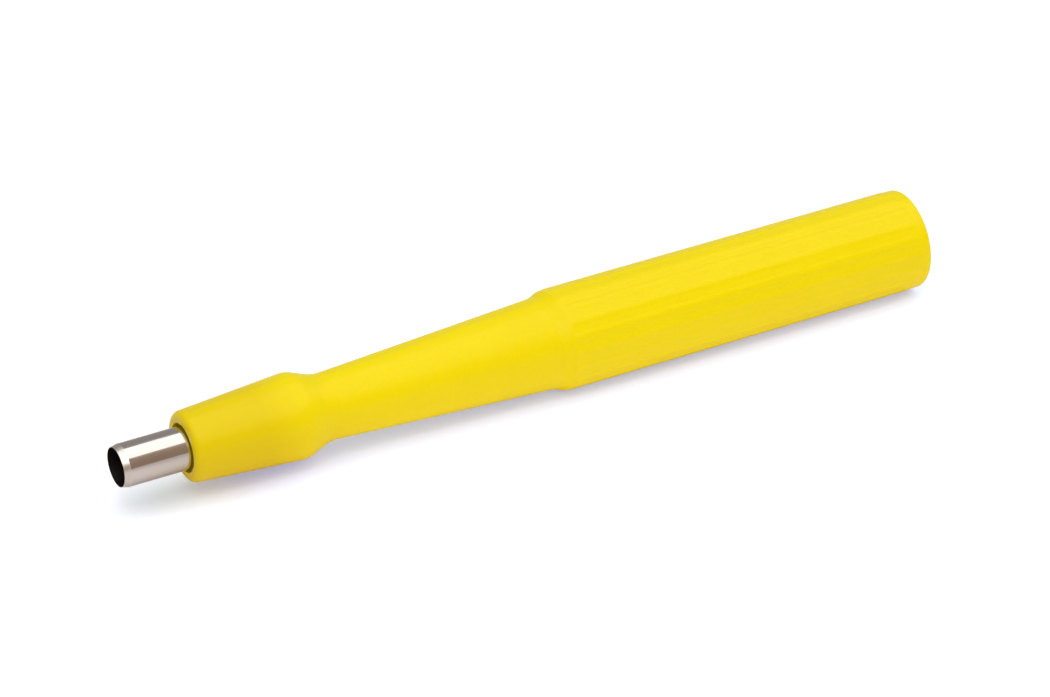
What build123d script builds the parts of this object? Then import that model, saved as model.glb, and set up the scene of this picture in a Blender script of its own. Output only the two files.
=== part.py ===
# Biopsy punch: a ground steel cutting tube held in a one-piece moulded handle.
# Lengths are in millimetres and angles in degrees.
# The punch lies on its ribs along X: cutting edge at -X, rear end at +X, floor at Z = 0.
import os
from math import cos, radians, sqrt

from build123d import *

os.makedirs("parts", exist_ok=True)

# Cutting tube
bore_diameter = 4.0
tube_wall = 0.2
tube_free_length = 7.1
tube_seat_depth = 9.0
bevel_length = 0.7
edge_land = 0.03

# Socket for the tube in the nose of the handle
bond_gap = 0.03
well_width = 0.3
well_depth = 0.6

# Nose and finger flange
nose_diameter = 7.2
nose_length = 12.15
nose_rim_radius = 0.7
flange_diameter = 8.9
flange_edge_radius = 2.0

# Waist and taper
waist_diameter = 6.75
waist_setback = 2.8
waist_radius = 4.0
taper_length = 24.95
taper_end_diameter = 9.5

# Shoulder and barrel
shoulder_length = 1.1
shoulder_foot_radius = 0.3
shoulder_edge_radius = 0.2
barrel_diameter = 10.38
barrel_length = 41.9
rear_edge_radius = 0.35

# Grip ribs: only their crests stand out of the barrel, and their round ends are buried in it
rib_count = 20
rib_height = 0.07
rib_crest_radius = 1.4
rib_front_margin = 0.2
rib_rear_cover = 0.2

# Sizes and places that follow, counted along the axis from the cutting edge
bore_radius = bore_diameter / 2
tube_radius = bore_radius + tube_wall
tube_length = tube_free_length + tube_seat_depth
socket_radius = tube_radius + bond_gap
nose_face_at = tube_free_length
flange_at = nose_face_at + nose_length
waist_at = flange_at + waist_setback
shoulder_at = waist_at + taper_length
barrel_at = shoulder_at + shoulder_length
rear_at = barrel_at + barrel_length
barrel_radius = barrel_diameter / 2
rib_half_pitch = 180 / rib_count
rib_centre_radius = barrel_radius + rib_height - rib_crest_radius
rib_run_out = sqrt(rib_crest_radius**2 - (rib_crest_radius - rib_height) ** 2)
rib_start = barrel_at + rib_front_margin + rib_run_out
rib_end = rear_at - rib_rear_cover - rib_crest_radius

# The punch rests on two neighbouring ribs, with the furrow between them facing straight down.
axis_height = rib_centre_radius * cos(radians(rib_half_pitch)) + rib_crest_radius

tip = Vector(-rear_at / 2, 0, axis_height)
punch_axis = Axis(tip, (1, 0, 0))
side = Plane(origin=tip, x_dir=(1, 0, 0), z_dir=(0, -1, 0))
cross = Plane(origin=tip, x_dir=(0, 0, -1), z_dir=(1, 0, 0))
nose_face = Plane(origin=tip + Vector(nose_face_at, 0, 0), x_dir=(0, 0, 1), z_dir=(-1, 0, 0))

# Handle
with BuildPart() as handle:
    # Nose, flange, waist, taper, shoulder and barrel, turned from one outline
    with BuildSketch(side):
        with BuildLine():
            outline = FilletPolyline(
                (nose_face_at, 0),
                (nose_face_at, nose_diameter / 2),
                (flange_at, flange_diameter / 2),
                (waist_at, waist_diameter / 2),
                (shoulder_at, taper_end_diameter / 2),
                (barrel_at, barrel_radius),
                (rear_at, barrel_radius),
                (rear_at, 0),
                radius=[
                    nose_rim_radius,
                    flange_edge_radius,
                    waist_radius,
                    shoulder_foot_radius,
                    shoulder_edge_radius,
                    rear_edge_radius,
                ],
            )
            Line(outline @ 1, outline @ 0)
        make_face()
    revolve(axis=punch_axis)

    # Lengthwise ribs with ball ends
    with BuildSketch(cross.offset(rib_start)):
        with PolarLocations(rib_centre_radius, rib_count, start_angle=rib_half_pitch):
            Circle(rib_crest_radius)
    extrude(amount=rib_end - rib_start)
    for rib_stop in (rib_start, rib_end):
        with Locations(cross.offset(rib_stop)):
            with PolarLocations(rib_centre_radius, rib_count, start_angle=rib_half_pitch):
                Sphere(rib_crest_radius)

    # Blind socket for the tube, with a shallow well round its mouth
    with Locations(nose_face):
        CounterBoreHole(
            radius=socket_radius,
            counter_bore_radius=socket_radius + well_width,
            counter_bore_depth=well_depth,
            depth=tube_seat_depth,
        )
handle.part.label = "handle"

# Cutting tube: plain drawn tube, ground to an edge from the outside, seated on the socket's floor
with BuildPart() as cutting_tube:
    with BuildSketch(side):
        with BuildLine():
            Polyline(
                (0, bore_radius),
                (0, bore_radius + edge_land),
                (bevel_length, tube_radius),
                (tube_length, tube_radius),
                (tube_length, bore_radius),
                close=True,
            )
        make_face()
    revolve(axis=punch_axis)
cutting_tube.part.label = "cutting_tube"

export_step(handle.part, "parts/handle.step")
export_step(cutting_tube.part, "parts/cutting_tube.step")
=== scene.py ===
"""Looks of a biopsy punch: a drawn steel cutting tube in a moulded yellow plastic handle."""
from math import cos, pi, radians, sin

import bpy
from mathutils import Matrix, Vector


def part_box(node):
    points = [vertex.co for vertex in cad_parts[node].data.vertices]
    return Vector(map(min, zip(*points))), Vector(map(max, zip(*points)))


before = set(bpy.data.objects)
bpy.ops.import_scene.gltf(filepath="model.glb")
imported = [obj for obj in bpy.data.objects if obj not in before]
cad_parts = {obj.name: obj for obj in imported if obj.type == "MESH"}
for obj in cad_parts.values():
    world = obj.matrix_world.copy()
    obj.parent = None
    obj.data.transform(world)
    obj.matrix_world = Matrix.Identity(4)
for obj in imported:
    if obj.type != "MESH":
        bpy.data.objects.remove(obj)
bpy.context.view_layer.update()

MM = 0.001

# Places on the punch, read from the frame
nose_face_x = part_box("handle")[0].x
tube_low, tube_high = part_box("cutting_tube")
axis_height = (tube_low.z + tube_high.z) / 2
tube_radius = (tube_high.z - tube_low.z) / 2
middle = Vector((0, 0, axis_height))

# Sizes that the finishes need and the frame doesn't state
TUBE_WALL = 0.2 * MM
BEVEL_LENGTH = 0.7 * MM

# Light that the table and the room give by themselves, where 1 is white
TABLE_GLOW = 0.5
ROOM_GLOW = 0.42
WHITE = 1.0

# Camera: the photograph's viewpoint, turned to the punch, with a longer lens
CAMERA_AZIMUTH = -27.8
CAMERA_ELEVATION = 29.0
CAMERA_DISTANCE = 0.5046
CAMERA_ROLL = -1.85
LENS_MM = 172.8

# Sockets of a Mix node, which go by number because their names repeat
FACTOR = 0
NUMBER_A = 2
NUMBER_B = 3
MIXED_NUMBER = 0
COLOUR_A = 6
COLOUR_B = 7
MIXED_COLOUR = 2


def linear(hex_colour):
    """A colour written as sRGB hex, as the linear RGBA that shaders take."""
    channels = [int(hex_colour[i:i + 2], 16) / 255 for i in (1, 3, 5)]
    return [c / 12.92 if c <= 0.04045 else ((c + 0.055) / 1.055) ** 2.4 for c in channels] + [1]


def per_metre(size_mm):
    """Texture scale at which one feature of a pattern is about this many millimetres wide."""
    return 1000 / size_mm


def add_node(tree, kind, inputs=None, **settings):
    """Adds a shader node. An input is given a value, or the socket that feeds it."""
    node = tree.nodes.new(kind)
    for name, value in settings.items():
        setattr(node, name, value)
    for name, value in (inputs or {}).items():
        if isinstance(value, bpy.types.NodeSocket):
            tree.links.new(value, node.inputs[name])
        else:
            node.inputs[name].default_value = value
    return node


def new_material(name):
    """An empty material with its output node."""
    material = bpy.data.materials.new(name)
    material.use_nodes = True
    material.node_tree.nodes.clear()
    return material, material.node_tree, add_node(material.node_tree, "ShaderNodeOutputMaterial")


def moulded_abs():
    """ABS, injection-moulded in a spark-eroded mould: yellow and satin, with painted shade on the nose over
    the steel.
    """
    material, tree, output = new_material("moulded_abs")
    place = add_node(tree, "ShaderNodeTexCoord").outputs["Object"]
    axes = add_node(tree, "ShaderNodeSeparateXYZ", {"Vector": place})

    # Painted shade: the nose is coloured darker as far as the steel tube reaches into it
    painted_nose_shade = add_node(
        tree, "ShaderNodeMapRange",
        {
            "Value": axes.outputs["X"],
            "From Min": tube_high.x - 1.5 * MM,
            "From Max": tube_high.x + 2.5 * MM,
            "To Min": 1.0,
            "To Max": 0.0,
        },
    )

    # Pigment: slow drift of the melt over some millimetres, and a fine fleck
    drift = add_node(tree, "ShaderNodeTexNoise", {"Vector": place, "Scale": per_metre(7), "Detail": 2})
    fleck = add_node(tree, "ShaderNodeTexNoise", {"Vector": place, "Scale": per_metre(0.35), "Detail": 1})
    body = add_node(
        tree, "ShaderNodeMix",
        {FACTOR: drift.outputs[0], COLOUR_A: linear("#DBCA00"), COLOUR_B: linear("#DFD001")},
        data_type="RGBA",
    )
    fleck_share = add_node(
        tree, "ShaderNodeMapRange",
        {"Value": fleck.outputs[0], "From Min": 0.35, "From Max": 0.65, "To Min": 0.0, "To Max": 0.25},
    )
    flecked = add_node(
        tree, "ShaderNodeMix",
        {
            FACTOR: fleck_share.outputs[0],
            COLOUR_A: body.outputs[MIXED_COLOUR],
            COLOUR_B: linear("#D8C600"),
        },
        data_type="RGBA",
    )
    colour = add_node(
        tree, "ShaderNodeMix",
        {
            FACTOR: painted_nose_shade.outputs[0],
            COLOUR_A: flecked.outputs[MIXED_COLOUR],
            COLOUR_B: linear("#D2BF04"),
        },
        data_type="RGBA",
    )

    # Sheen: the mould's surface isn't equally bright all over
    bloom = add_node(tree, "ShaderNodeTexNoise", {"Vector": place, "Scale": per_metre(3), "Detail": 3})
    roughness = add_node(
        tree, "ShaderNodeMapRange",
        {"Value": bloom.outputs[0], "From Min": 0.3, "From Max": 0.7, "To Min": 0.29, "To Max": 0.37},
    )

    # Grain: a spark-eroded mould leaves 0.05 mm pits, drawn at 0.2 mm so that they show
    grain = add_node(tree, "ShaderNodeTexNoise", {"Vector": place, "Scale": per_metre(0.2), "Detail": 2})
    bump = add_node(
        tree, "ShaderNodeBump",
        {"Height": grain.outputs[0], "Strength": 0.35, "Distance": 0.02 * MM},
    )

    shader = add_node(
        tree, "ShaderNodeBsdfPrincipled",
        {
            "Base Color": colour.outputs[MIXED_COLOUR],
            "Roughness": roughness.outputs[0],
            "IOR": 1.54,
            "Specular IOR Level": 0.12,
            "Normal": bump.outputs[0],
        },
    )
    tree.links.new(shader.outputs[0], output.inputs["Surface"])
    return material


def drawn_stainless():
    """Stainless tube, cold drawn and ground: long die lines, a finely ringed bevel, a dull bore painted dark
    as shade.
    """
    material, tree, output = new_material("drawn_stainless")
    place = add_node(tree, "ShaderNodeTexCoord").outputs["Object"]
    axes = add_node(tree, "ShaderNodeSeparateXYZ", {"Vector": place})
    from_axis = add_node(
        tree, "ShaderNodeVectorMath",
        {0: place, 1: (0, 0, axis_height)},
        operation="SUBTRACT",
    )

    # The bore is what lies inside the wall, and the bevel what lies next to the cutting edge
    across = add_node(
        tree, "ShaderNodeVectorMath",
        {0: from_axis.outputs[0], 1: (0, 1, 1)},
        operation="MULTIPLY",
    )
    radius = add_node(tree, "ShaderNodeVectorMath", {0: across.outputs[0]}, operation="LENGTH")
    in_bore = add_node(
        tree, "ShaderNodeMath",
        {0: radius.outputs["Value"], 1: tube_radius - TUBE_WALL + 0.01 * MM},
        operation="LESS_THAN",
    )
    on_bevel = add_node(
        tree, "ShaderNodeMath",
        {0: axes.outputs["X"], 1: tube_low.x + BEVEL_LENGTH},
        operation="LESS_THAN",
    )

    # Die lines run along the tube: 0.05 mm apart on the real one, drawn at 0.12 mm so that they show
    stretch = add_node(
        tree, "ShaderNodeVectorMath",
        {0: from_axis.outputs[0], 1: (per_metre(9), per_metre(0.12), per_metre(0.12))},
        operation="MULTIPLY",
    )
    die_lines = add_node(tree, "ShaderNodeTexNoise", {"Vector": stretch.outputs[0], "Scale": 1, "Detail": 3})

    # Grinding rings run round the bevel, 0.05 mm apart
    squeeze = add_node(
        tree, "ShaderNodeVectorMath",
        {0: from_axis.outputs[0], 1: (per_metre(0.05), per_metre(6), per_metre(6))},
        operation="MULTIPLY",
    )
    rings = add_node(tree, "ShaderNodeTexNoise", {"Vector": squeeze.outputs[0], "Scale": 1, "Detail": 2})
    lines = add_node(
        tree, "ShaderNodeMix",
        {FACTOR: on_bevel.outputs[0], NUMBER_A: die_lines.outputs[0], NUMBER_B: rings.outputs[0]},
    ).outputs[MIXED_NUMBER]

    # Colour: the lines are a shade darker, and the bore is painted almost black, as painted shade inside the
    # tube
    outside = add_node(
        tree, "ShaderNodeMix",
        {FACTOR: lines, COLOUR_A: linear("#C2BEB9"), COLOUR_B: linear("#D3CFCA")},
        data_type="RGBA",
    )
    colour = add_node(
        tree, "ShaderNodeMix",
        {
            FACTOR: in_bore.outputs[0],
            COLOUR_A: outside.outputs[MIXED_COLOUR],
            COLOUR_B: linear("#3A3634"),
        },
        data_type="RGBA",
    )

    # Polish: bright along the drawn tube, dull on the ground bevel, duller in the bore
    drawn = add_node(
        tree, "ShaderNodeMapRange",
        {"Value": lines, "From Min": 0.3, "From Max": 0.7, "To Min": 0.1, "To Max": 0.18},
    )
    polish = add_node(
        tree, "ShaderNodeMix",
        {FACTOR: on_bevel.outputs[0], NUMBER_A: drawn.outputs[0], NUMBER_B: 0.34},
    )
    roughness = add_node(
        tree, "ShaderNodeMix",
        {FACTOR: in_bore.outputs[0], NUMBER_A: polish.outputs[MIXED_NUMBER], NUMBER_B: 0.5},
    )
    bump = add_node(
        tree, "ShaderNodeBump",
        {"Height": lines, "Strength": 0.2, "Distance": 0.004 * MM},
    )

    shader = add_node(
        tree, "ShaderNodeBsdfPrincipled",
        {
            "Base Color": colour.outputs[MIXED_COLOUR],
            "Metallic": 1.0,
            "Roughness": roughness.outputs[MIXED_NUMBER],
            "Normal": bump.outputs[0],
        },
    )
    tree.links.new(shader.outputs[0], output.inputs["Surface"])
    return material


def white_sweep():
    """Matt white table, softly lit from below: pure white to the eye, with a short grey shadow."""
    material, tree, output = new_material("white_sweep")
    ray = add_node(tree, "ShaderNodeLightPath")
    place = add_node(tree, "ShaderNodeTexCoord").outputs["Object"]
    axes = add_node(tree, "ShaderNodeSeparateXYZ", {"Vector": place})

    # Two zones of the table go from 0 to 1 along the punch, across the nose and past it
    by_handle = add_node(
        tree, "ShaderNodeMapRange",
        {
            "Value": axes.outputs["X"],
            "From Min": nose_face_x - 2 * MM,
            "From Max": nose_face_x + 11 * MM,
        },
    )
    past_nose = add_node(
        tree, "ShaderNodeMapRange",
        {
            "Value": axes.outputs["X"],
            "From Min": nose_face_x + 8 * MM,
            "From Max": nose_face_x + 18 * MM,
        },
    )

    # Painted reflection: reflections show the table by its top light alone, in a duller colour, with painted
    # shade making it dullest by the handle
    mirrored = add_node(
        tree, "ShaderNodeMix",
        {FACTOR: by_handle.outputs[0], COLOUR_A: linear("#E2DFE1"), COLOUR_B: linear("#C4C1C2")},
        data_type="RGBA",
    )
    sheet = add_node(
        tree, "ShaderNodeMix",
        {
            FACTOR: ray.outputs["Is Glossy Ray"],
            COLOUR_A: linear("#EDEEF6"),
            COLOUR_B: mirrored.outputs[MIXED_COLOUR],
        },
        data_type="RGBA",
    )
    paper = add_node(tree, "ShaderNodeBsdfDiffuse", {"Color": sheet.outputs[MIXED_COLOUR]})
    strength = add_node(
        tree, "ShaderNodeMath",
        {0: ray.outputs["Is Glossy Ray"], 1: -TABLE_GLOW, 2: TABLE_GLOW},
        operation="MULTIPLY_ADD",
    )

    # The glow that fills the shadow looks cool by the handle, to cancel its yellow bounce light.
    # The handle's back is less lit and throws less of it.
    bounce = add_node(
        tree, "ShaderNodeMapRange",
        {"Value": axes.outputs["Y"], "From Min": 0.0, "From Max": 6 * MM, "To Min": 1.0, "To Max": 0.5},
    )
    coolness = add_node(
        tree, "ShaderNodeMath",
        {0: by_handle.outputs[0], 1: bounce.outputs[0]},
        operation="MULTIPLY",
    )
    seen = add_node(
        tree, "ShaderNodeMix",
        {FACTOR: coolness.outputs[0], COLOUR_A: linear("#8AA8AE"), COLOUR_B: linear("#6CA6FA")},
        data_type="RGBA",
    )

    # The light that the glow gives the handle from below is weak and warm under the nose
    given = add_node(
        tree, "ShaderNodeMix",
        {FACTOR: past_nose.outputs[0], COLOUR_A: linear("#B07444"), COLOUR_B: linear("#E5D1BE")},
        data_type="RGBA",
    )
    tint = add_node(
        tree, "ShaderNodeMix",
        {
            FACTOR: ray.outputs["Is Camera Ray"],
            COLOUR_A: given.outputs[MIXED_COLOUR],
            COLOUR_B: seen.outputs[MIXED_COLOUR],
        },
        data_type="RGBA",
    )
    glow = add_node(
        tree, "ShaderNodeEmission",
        {"Color": tint.outputs[MIXED_COLOUR], "Strength": strength.outputs[0]},
    )
    lit = add_node(tree, "ShaderNodeAddShader", {0: paper.outputs[0], 1: glow.outputs[0]})

    # Away from the punch the eye sees plain white, out to the horizon
    distance = add_node(tree, "ShaderNodeVectorMath", {0: place}, operation="LENGTH")
    far = add_node(
        tree, "ShaderNodeMapRange",
        {"Value": distance.outputs["Value"], "From Min": 200 * MM, "From Max": 400 * MM},
    )
    far_seen = add_node(
        tree, "ShaderNodeMath",
        {0: far.outputs[0], 1: ray.outputs["Is Camera Ray"]},
        operation="MULTIPLY",
    )
    backdrop = add_node(tree, "ShaderNodeEmission", {"Color": linear("#FFFFFF"), "Strength": WHITE})
    shown = add_node(
        tree, "ShaderNodeMixShader",
        {0: far_seen.outputs[0], 1: lit.outputs[0], 2: backdrop.outputs[0]},
    )
    tree.links.new(shown.outputs[0], output.inputs["Surface"])
    return material


def dress(node, material):
    """Puts one material on a CAD node."""
    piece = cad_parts[node]
    piece.data.materials.clear()
    piece.data.materials.append(material)


def lay_floor(half_size):
    """A level sheet under the punch."""
    mesh = bpy.data.meshes.new("floor")
    corners = [(x * half_size, y * half_size, 0) for x, y in ((-1, -1), (1, -1), (1, 1), (-1, 1))]
    mesh.from_pydata(corners, [], [(0, 1, 2, 3)])
    floor = bpy.data.objects.new("floor", mesh)
    bpy.context.scene.collection.objects.link(floor)
    mesh.materials.append(white_sweep())


def hang_softbox(name, centre, target, length, width, radiance):
    """A rectangular softbox that faces the target, as bright as a white sheet of that radiance."""
    lamp = bpy.data.lights.new(name, "AREA")
    lamp.shape = "RECTANGLE"
    lamp.size = length
    lamp.size_y = width
    lamp.energy = radiance * pi * length * width
    softbox = bpy.data.objects.new(name, lamp)
    softbox.location = centre
    softbox.rotation_euler = (Vector(target) - Vector(centre)).to_track_quat("-Z", "Y").to_euler()
    bpy.context.scene.collection.objects.link(softbox)


def fill_room():
    """Dim light from the rest of the studio, and a white backdrop to the eye."""
    world = bpy.data.worlds.new("studio")
    world.use_nodes = True
    tree = world.node_tree
    tree.nodes.clear()
    output = add_node(tree, "ShaderNodeOutputWorld")

    # The room is warm in front of the punch and neutral behind it
    heading = add_node(tree, "ShaderNodeTexCoord").outputs["Generated"]
    axes = add_node(tree, "ShaderNodeSeparateXYZ", {"Vector": heading})
    behind = add_node(
        tree, "ShaderNodeMapRange",
        {"Value": axes.outputs["Y"], "From Min": -0.2, "From Max": 0.2},
    )
    colour = add_node(
        tree, "ShaderNodeMix",
        {FACTOR: behind.outputs[0], COLOUR_A: linear("#F4CFB4"), COLOUR_B: linear("#F6EDEA")},
        data_type="RGBA",
    )
    room = add_node(
        tree, "ShaderNodeBackground",
        {"Color": colour.outputs[MIXED_COLOUR], "Strength": ROOM_GLOW},
    )

    backdrop = add_node(tree, "ShaderNodeBackground", {"Color": linear("#FFFFFF"), "Strength": WHITE})
    ray = add_node(tree, "ShaderNodeLightPath")
    shown = add_node(
        tree, "ShaderNodeMixShader",
        {0: ray.outputs["Is Camera Ray"], 1: room.outputs[0], 2: backdrop.outputs[0]},
    )
    tree.links.new(shown.outputs[0], output.inputs["Surface"])
    bpy.context.scene.world = world


def place_camera():
    """A camera at the photograph's viewing angle."""
    azimuth = radians(CAMERA_AZIMUTH)
    elevation = radians(CAMERA_ELEVATION)
    back = Vector((sin(azimuth) * cos(elevation), -cos(azimuth) * cos(elevation), sin(elevation)))
    lens = bpy.data.cameras.new("camera")
    lens.lens = LENS_MM
    lens.clip_start = 10 * MM
    camera = bpy.data.objects.new("camera", lens)
    turn = (-back).to_track_quat("-Z", "Y").to_matrix().to_4x4()
    roll = Matrix.Rotation(radians(CAMERA_ROLL), 4, "Z")
    camera.matrix_world = Matrix.Translation(middle + back * CAMERA_DISTANCE) @ turn @ roll
    bpy.context.scene.collection.objects.link(camera)
    bpy.context.scene.camera = camera


dress("handle", moulded_abs())
dress("cutting_tube", drawn_stainless())
lay_floor(half_size=4)
hang_softbox("top_softbox", (0, -0.11, 1.2), (0, -0.11, 0), length=4.2, width=1.4, radiance=1.5)
hang_softbox("front_softbox", (-0.22, -1.05, 1.19), (0, 0, 0), length=1.3, width=0.9, radiance=2.1)
fill_room()
place_camera()
bpy.context.scene.view_settings.view_transform = "Standard"
